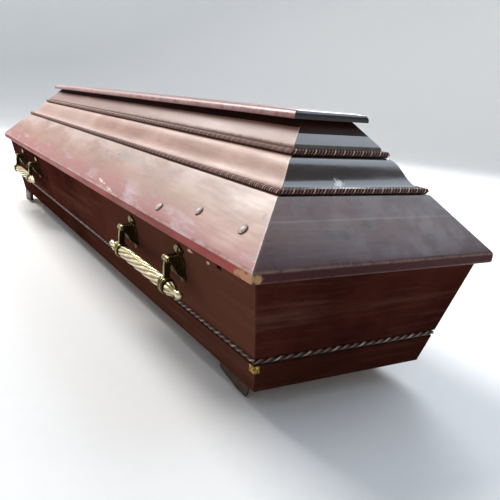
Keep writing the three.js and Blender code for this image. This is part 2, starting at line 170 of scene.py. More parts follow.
def run_ends(run, inset, z=0.0):
    """Both ends of a board's line at an inset, short of the mitre by half its gap."""
    start, stop = (plan_corner(*corner, inset, z) for corner in RUNS[run])
    step = (stop - start).normalized() * MITRE_GAP
    return start + step, stop - step


def chest_face(z):
    return CHEST_LOW_INSET - (z - CHEST_LOW) * CHEST_FLARE


def warped(point):
    """Where a point of the old, moved timber lies."""
    return point + noise.noise_vector(point * WARP_SCALE) * WARP_DEPTH


class Finish:
    """One procedural finish, with short ways to add patterns to its shader."""

    def __init__(self, name, **values):
        self.material = bpy.data.materials.new(name)
        self.material.use_nodes = True
        self.tree = self.material.node_tree
        self.shader = self.tree.nodes["Principled BSDF"]
        for socket, value in values.items():
            self.shader.inputs[socket.replace("_", " ")].default_value = value
        self.place = self.node("ShaderNodeTexCoord").outputs["Object"]
        self.axes = self.node("ShaderNodeSeparateXYZ", {"Vector": self.place}).outputs

    def node(self, kind, sockets=None, **settings):
        made = self.tree.nodes.new(kind)
        for setting, value in settings.items():
            setattr(made, setting, value)
        for socket, source in (sockets or {}).items():
            if isinstance(source, bpy.types.NodeSocket):
                self.tree.links.new(source, made.inputs[socket])
            else:
                made.inputs[socket].default_value = source
        return made

    def noise(self, scale, stretch=(1, 1, 1), detail=4, rough=0.55, shift=(0, 0, 0)):
        moves = {"Vector": self.place, "Scale": stretch, "Location": shift}
        moved = self.node("ShaderNodeMapping", moves)
        sockets = {"Vector": moved.outputs[0], "Scale": scale, "Detail": detail, "Roughness": rough}
        return self.node("ShaderNodeTexNoise", sockets).outputs[0]

    def step(self, value, low, high, floor=0.0, ceiling=1.0):
        """A soft step from floor to ceiling as the value goes from low to high."""
        sockets = {"Value": value, "From Min": low, "From Max": high}
        sockets.update({"To Min": floor, "To Max": ceiling})
        ramp = self.node("ShaderNodeMapRange", sockets, interpolation_type="SMOOTHSTEP")
        return ramp.outputs[0]

    def sum(self, operation, first, second=0.0):
        return self.node("ShaderNodeMath", {0: first, 1: second}, operation=operation).outputs[0]

    def mix(self, share, first, second):
        sockets = {0: share, 6: first, 7: second}
        return self.node("ShaderNodeMix", sockets, data_type="RGBA").outputs[2]

    def cover(self, colour, where, share, code):
        """Lays a share of one more colour over where it shows."""
        return self.mix(self.sum("MULTIPLY", where, share), colour, tone(code))

    def attribute(self, name):
        return self.node("ShaderNodeAttribute", attribute_name=name).outputs["Fac"]

    def spot(self, centre, half, turn=(0, 0, 0), ragged=0.5, size=60):
        """A ragged patch about a centre, with its half sizes along each axis."""
        rough = self.node("ShaderNodeTexNoise", {"Vector": self.place, "Scale": size, "Detail": 4})
        sockets = {"Vector": self.place, "Location": centre, "Rotation": turn, "Scale": half}
        local = self.node("ShaderNodeMapping", sockets, vector_type="TEXTURE")
        reach = self.node("ShaderNodeVectorMath", {0: local.outputs[0]}, operation="LENGTH")
        wander = self.sum("MULTIPLY", self.sum("SUBTRACT", rough.outputs[0], 0.5), ragged * 4)
        return self.step(self.sum("ADD", reach.outputs["Value"], wander), 1.1, 0.6)

    def paint(self, colour, roughness=None, height=None, strength=0.3, depth=0.001):
        self.tree.links.new(colour, self.shader.inputs["Base Color"])
        if roughness is not None:
            self.tree.links.new(roughness, self.shader.inputs["Roughness"])
        if height is not None:
            sockets = {"Height": height, "Strength": strength, "Distance": depth}
            bump = self.node("ShaderNodeBump", sockets)
            self.tree.links.new(bump.outputs[0], self.shader.inputs["Normal"])
        return self.material


def grain_stretch(run):
    """Grain runs along the board."""
    return (0.06, 1, 1) if run in LONG_RUNS else (1, 0.06, 1)


def wood_base(finish, run, light, deep, streak):
    """Clouded lacquer over long grain: its colour and the height of the grain."""
    stretch = grain_stretch(run)
    cloud = finish.noise(5, detail=5, rough=0.6)
    grain = finish.noise(90, stretch, detail=6, rough=0.65)
    pores = finish.noise(420, stretch, detail=2)
    colour = finish.mix(finish.step(cloud, 0.35, 0.68), tone(deep), tone(light))
    colour = finish.mix(finish.step(grain, 0.5, 0.75, 0, 0.45), colour, tone(streak))
    colour = finish.mix(finish.step(pores, 0.58, 0.72, 0, 0.25), colour, tone(streak))
    return colour, grain


def add_fine_grain(finish, colour, dark, share):
    """Short dark flecks and streaks along the left boards."""
    streaks = finish.noise(170, (0.1, 1, 1), detail=5, rough=0.7, shift=(2, 6, 4))
    flecks = finish.noise(48, (0.5, 1, 1), detail=6, rough=0.75, shift=(5, 3, 1))
    both = finish.sum("MAXIMUM", finish.step(streaks, 0.52, 0.7), finish.step(flecks, 0.6, 0.75))
    return finish.mix(finish.sum("MULTIPLY", both, share), colour, tone(dark))


def add_wear(finish, colour, bare, reach=0.7):
    """Bare wood where an arris has been rubbed through."""
    broken = finish.noise(55, detail=5, rough=0.7)
    rubbed = finish.sum("MULTIPLY", finish.attribute("wear"), finish.step(broken, 0.25, 0.62))
    return finish.mix(finish.sum("MULTIPLY", rubbed, reach), colour, tone(bare))


def eave_lacquer(name, run, light, deep):
    """The rounded eave: red lacquer, taken darker on the runs away from the light as painted shade,
    bare at the corner nearest the photo.
    """
    finish = Finish(name, Specular_IOR_Level=0.15)
    colour, grain = wood_base(finish, run, light, deep, deep)
    bare = finish.spot((0.985, -0.24, 0.252), (0.035, 0.02, 0.008), ragged=0.5, size=90)
    colour = finish.cover(colour, bare, 0.8, "b98d62")
    colour = add_wear(finish, colour, "c9a898", 0.3)
    return finish.paint(colour, finish.step(grain, 0.3, 0.7, 0.4, 0.55), grain, 0.25)


def cap_shade_lacquer(name, run):
    """The strip under the cap board: painted shade, standing in for the cap's shadow and its dark
    reflection.
    """
    finish = Finish(name, Specular_IOR_Level=0.08)
    colour, grain = wood_base(finish, run, "2e1711", "1e0e0a", "36221b")
    return finish.paint(colour, finish.step(grain, 0.3, 0.7, 0.5, 0.65), grain, 0.2)


def lit_side_slope(name):
    """Left lower slope: pale tan, partly sun fading and partly painted light of the lit side; red
    and hazy along the eave, scratched and dusty.
    """
    finish = Finish(name, Specular_IOR_Level=0.45)
    colour, grain = wood_base(finish, "left", "a4785f", "8a5c49", "b8937f")
    patches = finish.noise(10, (0.4, 1, 1), detail=5, rough=0.6, shift=(3, 1, 2))
    colour = finish.mix(finish.step(patches, 0.5, 0.66, 0, 0.5), colour, tone("a06c4e"))
    colour = add_fine_grain(finish, colour, "7a5040", 0.4)
    height = finish.axes["Z"]
    dusty = finish.noise(16, (0.3, 1, 1), detail=5, rough=0.65, shift=(7, 2, 5))
    upper = finish.sum("MULTIPLY", finish.step(height, 0.3, 0.335), finish.step(dusty, 0.38, 0.62))
    colour = finish.cover(colour, upper, 0.6, "c4aea6")
    wander = finish.noise(14, (0.3, 1, 1), detail=5)
    waver = finish.sum("MULTIPLY", finish.sum("SUBTRACT", wander, 0.5), 0.07)
    band = finish.sum("ADD", height, waver)
    low = finish.step(band, 0.308, 0.27)
    colour = finish.cover(colour, low, 0.85, "9a4846")
    # Pale haze patches: partly lacquer bloom, partly painted sheen.
    haze = finish.noise(30, (0.2, 1, 1), detail=6, rough=0.7)
    pale_sheen = finish.sum("MULTIPLY", finish.step(haze, 0.5, 0.66), finish.sum("MAXIMUM", low, 0.25))
    colour = finish.cover(colour, pale_sheen, 0.7, "c5b6bd")
    smear = finish.spot((0.334, -0.183, 0.331), (0.09, 0.03, 0.012), ragged=0.7, size=30)
    colour = finish.cover(colour, smear, 0.5, "7d8088")
    for centre, half in (((0.311, -0.242, 0.272), 0.05), ((0.38, -0.247, 0.266), 0.06)):
        scratch = finish.spot(centre, (half, 0.004, 0.003), (0, 0, -0.15), ragged=0.9, size=90)
        colour = finish.cover(colour, scratch, 0.7, "e6dcd8")
    for centre in ((0.259, -0.186, 0.329), (0.175, -0.191, 0.326), (0.926, -0.182, 0.321)):
        knot = finish.spot(centre, (0.006, 0.006, 0.006), ragged=0.3)
        colour = finish.cover(colour, knot, 0.6, "5b463e")
    colour = add_wear(finish, colour, "e7ddd2", 0.9)
    rough = finish.step(haze, 0.3, 0.7, 0.34, 0.5)
    return finish.paint(colour, rough, grain, 0.25)


def lit_side_tier(name):
    """Left ogee and upper slope: pale lacquer, partly fading and partly painted light of the lit
    side, a little paler toward the head.
    """
    finish = Finish(name, Specular_IOR_Level=0.45)
    colour, grain = wood_base(finish, "left", "b58775", "966553", "c4a094")
    patches = finish.noise(12, (0.35, 1, 1), detail=5, rough=0.6, shift=(1, 4, 2))
    colour = finish.mix(finish.step(patches, 0.5, 0.66, 0, 0.5), colour, tone("9c6a4e"))
    colour = add_fine_grain(finish, colour, "7a5040", 0.4)
    change = finish.step(finish.axes["X"], -0.13, -0.11, 0.25, 0)
    colour = finish.mix(change, colour, tone("c7b2aa"))
    above_rope = finish.step(finish.axes["Z"], 0.405, 0.412, 0, 0.85)
    colour = finish.mix(above_rope, colour, tone("7c5044"))
    # Pale haze patches: partly lacquer bloom, partly painted sheen.
    haze = finish.noise(24, (0.12, 1, 1), detail=6, rough=0.7)
    colour = finish.mix(finish.step(haze, 0.54, 0.72, 0, 0.35), colour, tone("c9b2aa"))
    colour = add_wear(finish, colour, "e7ddd2", 0.9)
    return finish.paint(colour, finish.step(haze, 0.3, 0.7, 0.36, 0.5), grain, 0.2)


def shaded_slope(name):
    """Foot-end slope: dark gloss, darker than the left boards as painted shade, with a joint line,
    smudges and a purple cast low down.
    """
    finish = Finish(name, Specular_IOR_Level=0.5)
    colour, grain = wood_base(finish, "foot", "6a4a42", "4c302b", "7a6058")
    height = finish.axes["Z"]
    colour = finish.mix(finish.step(height, 0.305, 0.268, 0, 0.7), colour, tone("3f1c26"))
    rightward = finish.step(finish.axes["Y"], -0.02, 0.15, 0, 0.6)
    colour = finish.mix(rightward, colour, tone("43211f"))
    joint = finish.sum("ABSOLUTE", finish.sum("SUBTRACT", height, 0.3165))
    colour = finish.mix(finish.step(joint, 0.0016, 0.0006, 0, 0.5), colour, tone("8c7a70"))
    for centre in ((0.953, -0.005, 0.309), (0.962, -0.089, 0.3), (0.965, -0.062, 0.297)):
        smudge = finish.spot(centre, (0.016, 0.016, 0.005), ragged=0.8)
        colour = finish.cover(colour, smudge, 0.6, "23201f")
    colour = add_wear(finish, colour, "a98f78", 0.5)
    cloud = finish.noise(18, detail=5, rough=0.65)
    return finish.paint(colour, finish.step(cloud, 0.35, 0.7, 0.2, 0.38), grain, 0.25)


def shaded_tier(name):
    """Foot-end ogee and upper slope: dark glossy lacquer, darker than the left boards as painted
    shade.
    """
    finish = Finish(name, Specular_IOR_Level=0.85)
    colour, grain = wood_base(finish, "foot", "3a2c26", "241a16", "4a3c35")
    chip = finish.spot((0.894, -0.028, 0.364), (0.008, 0.01, 0.009), ragged=0.6, size=120)
    colour = finish.mix(chip, colour, tone("d9d2c4"))
    colour = add_wear(finish, colour, "a98f78", 0.5)
    cloud = finish.noise(20, (1, 0.3, 1), detail=5, rough=0.65)
    return finish.paint(colour, finish.step(cloud, 0.35, 0.7, 0.12, 0.22), grain, 0.15)


def plain_tier(name, run):
    """Lid boards away from the light: red-brown lacquer, evenly dulled."""
    finish = Finish(name, Specular_IOR_Level=0.5)
    colour, grain = wood_base(finish, run, "7d4a3e", "5c3029", "92695d")
    haze = finish.noise(22, grain_stretch(run), detail=6, rough=0.7)
    colour = finish.mix(finish.step(haze, 0.5, 0.72, 0, 0.35), colour, tone("a58d86"))
    colour = add_wear(finish, colour, "c9b3a0", 0.6)
    return finish.paint(colour, finish.step(haze, 0.3, 0.7, 0.3, 0.46), grain, 0.25)


def chest_lacquer(name, run):
    """Chest boards: dull red-brown lacquer, made very dark partly as painted shade under the eave,
    a lighter brown at the left side's foot end.
    """
    finish = Finish(name, Specular_IOR_Level=0.0)
    # Dark tones: partly the lacquer, partly painted shade of the chest under the eave.
    colour, grain = wood_base(finish, run, "46211a", "301410", "553429")
    if run == "left":
        near = finish.step(finish.axes["X"], -0.2, 0.8, 0, 0.75)
        colour = finish.mix(near, colour, tone("5e3b2f"))
    low = finish.step(finish.axes["Z"], 0.13, 0.06, 0, 0.5)
    colour = finish.mix(low, colour, tone("331a11"))
    # Painted shadow: a near-black band in the groove about the rope.
    from_rope = finish.sum("ABSOLUTE", finish.sum("SUBTRACT", finish.axes["Z"], CHEST_ROPE_Z))
    colour = finish.mix(finish.step(from_rope, 0.0095, 0.0065, 0, 0.8), colour, tone("140907"))
    dust = finish.noise(30, grain_stretch(run), detail=6, rough=0.7)
    colour = finish.mix(finish.step(dust, 0.52, 0.72, 0, 0.35), colour, tone("6a4c40"))
    if run == "left":
        for centre, half in (((0.767, -0.223, 0.228), 0.012), ((0.834, -0.221, 0.227), 0.006)):
            chip = finish.spot(centre, (half, 0.01, 0.003), ragged=0.5, size=150)
            colour = finish.mix(chip, colour, tone("c9a98c"))
        # Painted shade of a notch: a near-black patch, with no notch cut.
        notch = finish.spot((0.872, -0.222, 0.231), (0.01, 0.01, 0.005), ragged=0.5, size=150)
        colour = finish.mix(notch, colour, tone("140c0a"))
    colour = add_wear(finish, colour, "7d5745", 0.5)
    return finish.paint(colour, finish.step(dust, 0.3, 0.7, 0.45, 0.6), grain, 0.3)


def cap_lacquer(name):
    """Cap board: red lacquer, bleached and hazy on the top, its paler top rounding partly a painted
    highlight.
    """
    finish = Finish(name, Specular_IOR_Level=0.4)
    colour, grain = wood_base(finish, "left", "7d3f3a", "652a27", "93625c")
    # Paler over the top rounding and top: partly bleaching, partly painted highlight.
    top = finish.step(finish.axes["Z"], 0.464, 0.469)
    colour = finish.cover(colour, top, 0.6, "a88078")
    colour = add_wear(finish, colour, "d2b2b0", 0.7)
    haze = finish.noise(24, (0.15, 1, 1), detail=5, rough=0.7)
    return finish.paint(colour, finish.step(haze, 0.3, 0.7, 0.26, 0.42), grain, 0.25)


def cap_end_shade(name):
    """The cap board's end at the foot: nearly black as painted shade, with a high gloss."""
    finish = Finish(name, Specular_IOR_Level=0.6)
    colour, grain = wood_base(finish, "foot", "1c1514", "110d0d", "2a2220")
    return finish.paint(colour, finish.step(grain, 0.35, 0.7, 0.14, 0.26), grain, 0.2)


def foot_wood(name):
    """Bracket feet: nearly black, scuffed lacquer."""
    finish = Finish(name, Specular_IOR_Level=0.3)
    colour, grain = wood_base(finish, "left", "33211a", "221610", "4a352a")
    colour = add_wear(finish, colour, "6d5340", 0.6)
    return finish.paint(colour, finish.step(grain, 0.3, 0.7, 0.45, 0.65), grain, 0.35)


def floor_wood(name):
    """Bare deal inside the chest."""
    finish = Finish(name, Specular_IOR_Level=0.3)
    colour, grain = wood_base(finish, "left", "9a7a55", "7f6041", "6b4d33")
    return finish.paint(colour, finish.step(grain, 0.3, 0.7, 0.6, 0.8), grain, 0.3)


def rope_lacquer(name, red, pale_sheen, gold):
    """Twisted moulding: dark red strands, crests paler as wear and painted highlight, painted shade
    beneath, one of them gilded along its crest.
    """
    finish = Finish(name, Specular_IOR_Level=0.35)
    dust = finish.noise(70, detail=5, rough=0.65)
    # Paler crests: partly rubbed wear, partly painted highlight.
    crest = finish.step(finish.attribute("crest"), 0.3, 0.85)
    worn = finish.sum("MULTIPLY", crest, finish.step(dust, 0.3, 0.55, 0.35, 1))
    gilded = finish.step(finish.attribute("gilded"), 0.4, 0.6)
    rubbed = finish.mix(gilded, tone(pale_sheen), tone(gold))
    colour = finish.mix(worn, tone(red), rubbed)
    # Painted shade on the rope's underside.
    under = finish.step(finish.attribute("under"), 0.1, 0.6, 0, 0.9)
    colour = finish.mix(under, colour, tone("100505"))
    return finish.paint(colour, finish.step(dust, 0.3, 0.7, 0.35, 0.55), dust, 0.3)


def aged_brass(name, light, middle, deep, dulled):
    """Cast brass: rubbed pale on what stands out, olive brown in the hollows."""
    finish = Finish(name, Metallic=1.0)
    tarnish = finish.noise(130, detail=6, rough=0.65)
    cloud = finish.noise(35, detail=4)
    colour = finish.mix(finish.step(cloud, 0.3, 0.7), tone(middle), tone(light))
    spots = finish.step(tarnish, 0.45, 0.8, 0, 0.4)
    hollow = finish.sum("ADD", finish.attribute("hollow"), spots)
    colour = finish.mix(finish.step(hollow, 0.05, dulled), colour, tone(deep))
    return finish.paint(colour, finish.step(hollow, 0.1, 0.9, 0.26, 0.55), tarnish, 0.25, 0.0006)


def gilt_finish(name):
    """Gilt worn through to brown."""
    finish = Finish(name, Metallic=0.9)
    worn = finish.noise(260, detail=5, rough=0.7)
    colour = finish.mix(finish.step(worn, 0.42, 0.6), tone("6e4c1c"), tone("d9b75a"))
    return finish.paint(colour, finish.step(worn, 0.3, 0.7, 0.5, 0.28), worn, 0.5, 0.0008)


def screw_finish(name):
    """Pale worn metal with a dark rim of painted shade."""
    finish = Finish(name, Specular_IOR_Level=0.5)
    worn = finish.noise(300, detail=5, rough=0.7)
    colour = finish.mix(finish.step(worn, 0.4, 0.65), tone("a5928b"), tone("d6c8c2"))
    # Dark outer rim: painted shade at the edge of the head.
    rim = finish.step(finish.attribute("hollow"), 0.25, 0.5)
    colour = finish.mix(rim, tone("2a1f1c"), colour)
    return finish.paint(colour, finish.step(worn, 0.3, 0.7, 0.3, 0.55), worn, 0.35)


def points_of(made):
    """The points among what an operator made."""
    return [part for part in made["geom"] if isinstance(part, bmesh.types.BMVert)]


def open_edges(bm):
    return [e for e in bm.edges if e.is_boundary]


def close_holes(bm):
    bmesh.ops.holes_fill(bm, edges=open_edges(bm), sides=0)


def finish_piece(bm, name, finish, body, nodes, sharp=BOARD_SHARP):
    """Turns the worked shape into a piece that rides on its body and stands for its solid."""
    bmesh.ops.recalc_face_normals(bm, faces=bm.faces[:])
    mesh = bpy.data.meshes.new(name)
    bm.to_mesh(mesh)
    bm.free()
    mesh.shade_smooth()
    mesh.set_sharp_from_angle(angle=math.radians(sharp))
    mesh.materials.append(finish)
    piece = bpy.data.objects.new(name, mesh)
    bpy.context.scene.collection.objects.link(piece)
    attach(piece, body)
    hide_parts(*nodes)
    return piece


def rounded(corners, spacing=0.012):
    """A board's outline as (inset, z, wear): rounded corners, long flats broken into steps."""
    outline = []
    count = len(corners)
    for i, (inset, z, radius, worn) in enumerate(corners):
        here = Vector((inset, z))
        before = Vector(corners[i - 1][:2])
        after = Vector(corners[(i + 1) % count][:2])
        if radius == 0:
            outline.append((here, worn))
            continue
        back = (before - here).normalized()
        ahead = (after - here).normalized()
        reach = radius / math.tan(back.angle(ahead) / 2)
        for share in (0, 0.25, 0.5, 0.75, 1):
            first = (here + back * reach).lerp(here, share)
            second = here.lerp(here + ahead * reach, share)
            outline.append((first.lerp(second, share), worn * (1 - abs(2 * share - 1))))
    filled = []
    for i, (here, worn) in enumerate(outline):
        after, after_worn = outline[(i + 1) % len(outline)]
        steps = max(1, round((after - here).length / spacing))
        for k in range(steps):
            point = here.lerp(after, k / steps)
            filled.append((point.x, point.y, worn if k == 0 else 0))
    return filled


def run_shares(length, steps):
    """Shares along a run: close together at both mitres, even between."""
    near = [0, 0.0018 / length, 0.005 / length]
    inner = steps - 2 * len(near) + 2
    middle = [near[-1] + (1 - 2 * near[-1]) * k / inner for k in range(1, inner)]
    return near + middle + [1 - share for share in reversed(near)]


def mitred_board(outline, run, steps, hip_wear):
    """A board of one outline along a run, mitred at both ends and a little out of true."""
    bm = bmesh.new()
    wear = bm.verts.layers.float.new("wear")
    ring = []
    for inset, z, worn in outline:
        vert = bm.verts.new((0, inset, z))
        vert[wear] = worn
        ring.append(vert)
    end_face = bm.faces.new(ring)
    far_end = points_of(bmesh.ops.extrude_face_region(bm, geom=[end_face]))
    bmesh.ops.translate(bm, verts=far_end, vec=(1, 0, 0))
    lengthwise = [e for e in bm.edges if abs(e.verts[0].co.x - e.verts[1].co.x) > 0.5]
    bmesh.ops.subdivide_edges(bm, edges=lengthwise, cuts=steps - 1)
    start, stop = run_ends(run, 0)
    shares = run_shares((stop - start).length, steps)
    for vert in bm.verts:
        index = round(vert.co.x * steps)
        start, stop = run_ends(run, vert.co.y, vert.co.z)
        from_end = min(index, steps - index)
        if from_end < 2:
            hip = hip_wear[0] if index < 2 else hip_wear[1]
            vert[wear] = max(vert[wear], hip * (1 - 0.6 * from_end))
        vert.co = warped(start.lerp(stop, shares[index]))
    return bm


def chest_outline():
    low, high = CHEST_ROPE_Z - GROOVE_HALF, CHEST_ROPE_Z + GROOVE_HALF
    back = chest_face(CHEST_ROPE_Z) + GROOVE_DEPTH
    return rounded([
        (chest_face(CHEST_LOW), CHEST_LOW, 0.003, 0.7),
        (chest_face(low), low, 0.0012, 0.4),
        (back, low, 0, 0),
        (back, high, 0, 0),
        (chest_face(high), high, 0.0012, 0.4),
        (chest_face(CHEST_TOP), CHEST_TOP, 0.0012, 0.3),
        (chest_face(CHEST_TOP) + CHEST_BOARD, CHEST_TOP, 0, 0),
        (chest_face(CHEST_LOW) + CHEST_BOARD, CHEST_LOW, 0, 0),
    ])


def lower_slope_outline():
    return rounded([
        (0, SEAT, 0.0045, 0.5),
        (0, EAVE_TOP, 0.011, 0.6),
        (0.085, LOWER_TOP, 0.001, 0.3),
        (0.11328, LOWER_TOP, 0, 0),
        (0.04, 0.2737, 0, 0),
        (0.04, SEAT, 0, 0),
    ])


def ogee_outline():
    """An upright lip, then a hollow that swells toward the top."""
    lip = (0.0983, OGEE_LOW + 0.009)
    top = (0.142, OGEE_TOP)
    pulls = (Vector(lip), Vector((0.118, 0.3623)), Vector((0.123, 0.3949)), Vector(top))
    steps = 22
    face = []
    for k in range(steps + 1):
        share = k / steps
        rest = 1 - share
        weights = (rest ** 3, 3 * share * rest ** 2, 3 * share ** 2 * rest, share ** 3)
        point = sum((pull * weight for pull, weight in zip(pulls, weights)), Vector((0, 0)))
        face.append((point.x, point.y, 0, 0))
    back = ((0.168, OGEE_TOP, 0, 0), (0.127, OGEE_LOW, 0, 0))
    return rounded([(0.0983, OGEE_LOW, 0, 0), *face, *back])


def upper_slope_outline(shade_start):
    """Upright foot, rounded shoulder and slope, with a line where the painted shade under the cap
    begins.
    """
    shoulder = Vector((0.151, 0.416))
    return rounded([
        (0.151, UPPER_LOW, 0, 0),
        (*shoulder, 0.009, 0.4),
        (shoulder.x + shade_start - shoulder.y, shade_start, 0, 0),
        (0.1907, UPPER_TOP, 0, 0),
        (0.2133, UPPER_TOP, 0, 0),
        (0.1761, 0.4185, 0, 0),
        (0.1761, UPPER_LOW, 0, 0),
    ])


def second_finish(piece, finish, wanted):
    """Gives the faces whose middle is wanted a second finish."""
    piece.data.materials.append(finish)
    for face in piece.data.polygons:
        if wanted(face.center):
            face.material_index = 1


HIP_WEAR = {"left": (0.5, 1), "foot": (1, 0.4), "right": (0.4, 0.4), "head": (0.4, 0.4)}


def add_boards():
    """Four mitred boards for the chest and for each sloped tier of the lid."""
    # The left boards take a pale lit copy and the foot boards a dark shaded copy of one lacquer:
    # painted light and shade.
    slopes = {"left": lit_side_slope("lit_slope_lacquer"), "foot": shaded_slope("dark_slope")}
    tiers = {"left": lit_side_tier("lit_tier_lacquer"), "foot": shaded_tier("dark_tier")}
    chest = {run: chest_lacquer(f"chest_lacquer_{run}", run) for run in RUNS}
    eaves = {"left": eave_lacquer("eave_red", "left", "9a372e", "7a2722")}
    # Heights above which the upper slopes take the painted shade of the cap.
    shade_starts = {"left": 0.4425, "foot": 0.434, "right": 0.44, "head": 0.44}
    for run in ("right", "head"):
        slopes[run] = tiers[run] = plain_tier(f"dulled_lacquer_{run}", run)
    # The eaves away from the light get a dark copy of the red lacquer: painted shade.
    for run in ("foot", "right", "head"):
        eaves[run] = eave_lacquer(f"eave_shaded_{run}", run, "45191a", "330f10")
    sets = (
        ("chest_board", chest, 0.5, lambda run: chest_outline()),
        ("lower_slope", slopes, 1.0, lambda run: lower_slope_outline()),
        ("ogee", tiers, 1.0, lambda run: ogee_outline()),
        ("upper_slope", tiers, 0.8, lambda run: upper_slope_outline(shade_starts[run])),
    )
    for prefix, finishes, wear, outline_for in sets:
        for run in RUNS:
            steps = LONG_STEPS if run in LONG_RUNS else SHORT_STEPS
            hips = [share * wear for share in HIP_WEAR[run]]
            bm = mitred_board(outline_for(run), run, steps, hips)
            node = f"{prefix}_{run}"
            finish = finishes[run]
            board = finish_piece(bm, f"{node}_worn", finish, "coffin", [node])
            if prefix == "lower_slope":
                second_finish(board, eaves[run], lambda middle: middle.z < EAVE_LINE)
            if prefix == "upper_slope":
                # Faces above that height get the painted shade of the cap.
                dark = cap_shade_lacquer(f"cap_shade_{run}", run)
                second_finish(board, dark, lambda middle: middle.z > shade_starts[run])


def add_cap():
    """The flat top board, its upper edge worked to a quarter round."""
    bm = bmesh.new()
    wear = bm.verts.layers.float.new("wear")
    ring = []
    for end, side in ((-1, -1), (1, -1), (1, 1), (-1, 1)):
        corner = plan_corner(end, side, CAP_SIDE_INSET, CAP_LOW)
        corner.x = end * (HALF_LENGTH - CAP_END_INSET)
        ring.append(bm.verts.new(corner))
    underside = bm.faces.new(ring)
    top = points_of(bmesh.ops.extrude_face_region(bm, geom=[underside]))
    bmesh.ops.translate(bm, verts=top, vec=(0, 0, CAP_TOP - CAP_LOW))
    rim = [e for e in bm.edges if all(v.co.z > CAP_TOP - 1e-6 for v in e.verts)]
    bmesh.ops.bevel(
        bm, geom=rim, offset=CAP_ROUND, segments=6, profile=0.5, affect="EDGES", material=-1,
    )
    long_edges = [e for e in bm.edges if abs(e.verts[0].co.x - e.verts[1].co.x) > 1]
    bmesh.ops.subdivide_edges(bm, edges=long_edges, cuts=44)
    across = [e for e in bm.edges if abs(e.verts[0].co.y - e.verts[1].co.y) > 0.1]
    bmesh.ops.subdivide_edges(bm, edges=across, cuts=6)
    for vert in bm.verts:
        vert[wear] = 0.5 if 0.459 < vert.co.z < 0.468 else 0
        vert.co = warped(vert.co)
    finish = cap_lacquer("cap_lacquer")
    board = finish_piece(bm, "cap_board_worn", finish, "coffin", ["cap_board"])
    # The cap's foot end takes a near-black copy of the cap lacquer: painted shade.
    second_finish(board, cap_end_shade("cap_end_shaded"), lambda middle: middle.x > CAP_END_LINE)


def shaped_grid(columns, rows, place):
    """A grid whose points and named values are set by their two shares."""
    bm = bmesh.new()
    layers = {name: bm.verts.layers.float.new(name) for name in place(0, 0)[1]}
    bmesh.ops.create_grid(bm, x_segments=columns, y_segments=rows, size=0.5)
    for vert in bm.verts:
        vert.co, values = place(vert.co.x + 0.5, vert.co.y + 0.5)
        for name, value in values.items():
            vert[layers[name]] = value
    return bm


def close_tube(bm):
    """Joins the seam of a wrapped grid and closes its two ends."""
    bmesh.ops.remove_doubles(bm, verts=bm.verts[:], dist=1e-6)
    close_holes(bm)
    return bm


def cut_away(bm, place, outward):
    """Cuts off what lies past a plane, and closes the cut."""
    everything = bm.verts[:] + bm.edges[:] + bm.faces[:]
    bmesh.ops.bisect_plane(bm, geom=everything, plane_co=place, plane_no=outward, clear_outer=True)
    close_holes(bm)


def cut_mitre(bm, run, which):
    """Cuts a moulding off along the mitre at one end of its run."""
    ends = run_ends(run, 0)
    along = (ends[which] - ends[1 - which]).normalized()
    corner = RUNS[run][which]
    inward = plan_corner(*corner, 0.2) - plan_corner(*corner, 0)
    across = inward.cross(Vector((0, 0, 1)))
    cut_away(bm, ends[which], across if across.dot(along) > 0 else -across)


def twisted_moulding(run, inset, z, radius, lead, half_round=False):
    """A left-hand laid rope along a run: a wrapped grid turned as it goes, cut at the mitres."""
    start, stop = run_ends(run, inset, z)
    along = (stop - start).normalized()
    up = Vector((0, 0, 1))
    out = along.cross(up)
    spare = 3 * radius
    length = (stop - start).length + 2 * spare
    turns = length / lead

    def place(u, v):
        across = (v * ROPE_STRANDS) % 1
        swell = math.sin(math.pi * across)
        reach = radius * (1 - STRAND_DEPTH * (1 - swell) ** 1.5)
        angle = 2 * math.pi * (v - u * turns)
        round_it = (up * math.cos(angle) + out * math.sin(angle)) * reach
        point = start + along * (u * length - spare) + round_it
        crest = max(0.0, 1 - abs(across - 0.5) / 0.35)
        gilded = 1.0 if 0 < v * ROPE_STRANDS < 1 else 0.0
        # Painted shade: how far a point faces down.
        under = max(0.0, -math.cos(angle))
        return point, {"crest": crest, "gilded": gilded, "under": under}

    columns, rows = round(turns * STRAND_STEPS), STRAND_POINTS * ROPE_STRANDS
    bm = close_tube(shaped_grid(columns, rows, place))
    if half_round:
        cut_away(bm, start, -out)
    cut_mitre(bm, run, 0)
    cut_mitre(bm, run, 1)
    for vert in bm.verts:
        vert.co = warped(vert.co)
    return bm


def add_rope(bm, node, finish):
    finish_piece(bm, f"{node}_twisted", finish, "coffin", [node], ROPE_SHARP)


def add_mouldings():
    """Two twisted mouldings round the lid, and a half-round one let into the chest."""
    # The left ropes take a pale lit copy and the others a dark shaded copy; the chest rope's pale
    # crest lines are partly painted glints.
    lit = rope_lacquer("rope_lit", "4c1c19", "b07d77", "e2c9b4")
    dark = rope_lacquer("rope_shaded", "280b0c", "8d5457", "d8c182")
    chest = rope_lacquer("rope_chest", "180807", "8a5a50", "b8957c")
    chest_inset = chest_face(CHEST_ROPE_Z) + GROOVE_DEPTH - 0.0003
    for run in RUNS:
        lid_finish = lit if run == "left" else dark
        for prefix, (inset, z) in (("lower_rope", LOWER_ROPE), ("upper_rope", UPPER_ROPE)):
            bm = twisted_moulding(run, inset, z, ROPE_RADIUS, LID_ROPE_LEAD)
            add_rope(bm, f"{prefix}_{run}", lid_finish)
        bm = twisted_moulding(
            run, chest_inset, CHEST_ROPE_Z, CHEST_ROPE_RADIUS, CHEST_ROPE_LEAD, half_round=True,
        )
        add_rope(bm, f"chest_rope_{run}", chest)


